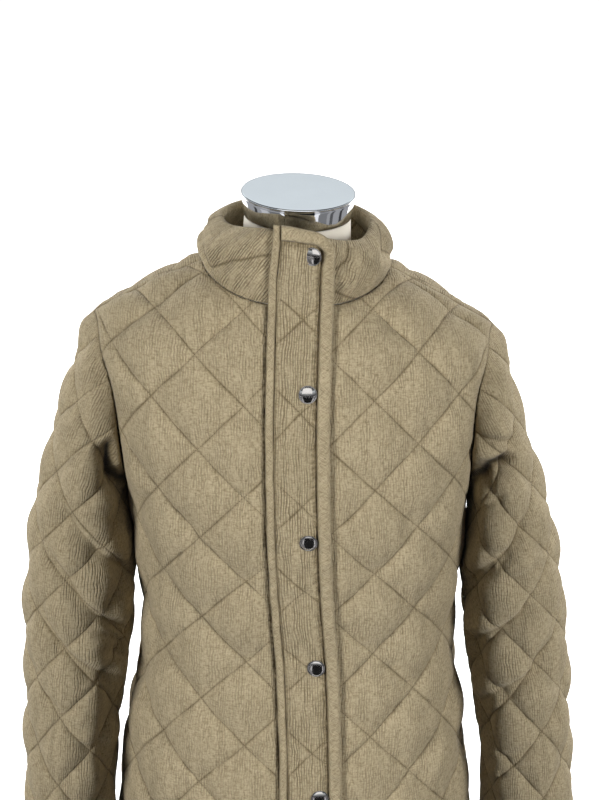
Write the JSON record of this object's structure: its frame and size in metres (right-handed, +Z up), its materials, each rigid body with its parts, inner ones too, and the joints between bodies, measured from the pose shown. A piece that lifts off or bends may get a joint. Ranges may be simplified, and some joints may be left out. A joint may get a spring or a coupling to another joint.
{
  "type": "quilted jacket on dress form",
  "caption": "Quilted hip-length jacket with stand collar, snap storm flap and long sleeves, worn by a limbless dress form on a round stand.",
  "frame": {"origin": "centre of the base's underside, on the surface that the form stands on", "axes": "+Z up along the pole; the jacket faces -Y and the wearer's left is at +X"},
  "size_m": [0.5927, 0.344, 0.9786],
  "materials": {
    "quilted_cloth": "khaki crinkled cotton, quilted in diamonds",
    "bias_binding": "khaki bias-cut crinkled cotton",
    "snap_metal": "polished gunmetal",
    "cream_jersey": "smooth cream jersey",
    "chrome": "polished",
    "satin_steel": "satin"
  },
  "bodies": {
    "root": {"right_front": "quilted_cloth", "left_front": "quilted_cloth", "back": "quilted_cloth", "right_sleeve": "quilted_cloth", "left_sleeve": "quilted_cloth", "collar": "quilted_cloth", "flap": "quilted_cloth", "strip": "quilted_cloth", "binding": "bias_binding", "snap_1": "snap_metal", "snap_2": "snap_metal", "snap_3": "snap_metal", "snap_4": "snap_metal", "snap_5": "snap_metal", "dress_form": "cream_jersey", "neck_cap": "chrome", "pole": "chrome", "base": "satin_steel"}
  },
  "joints": []
}
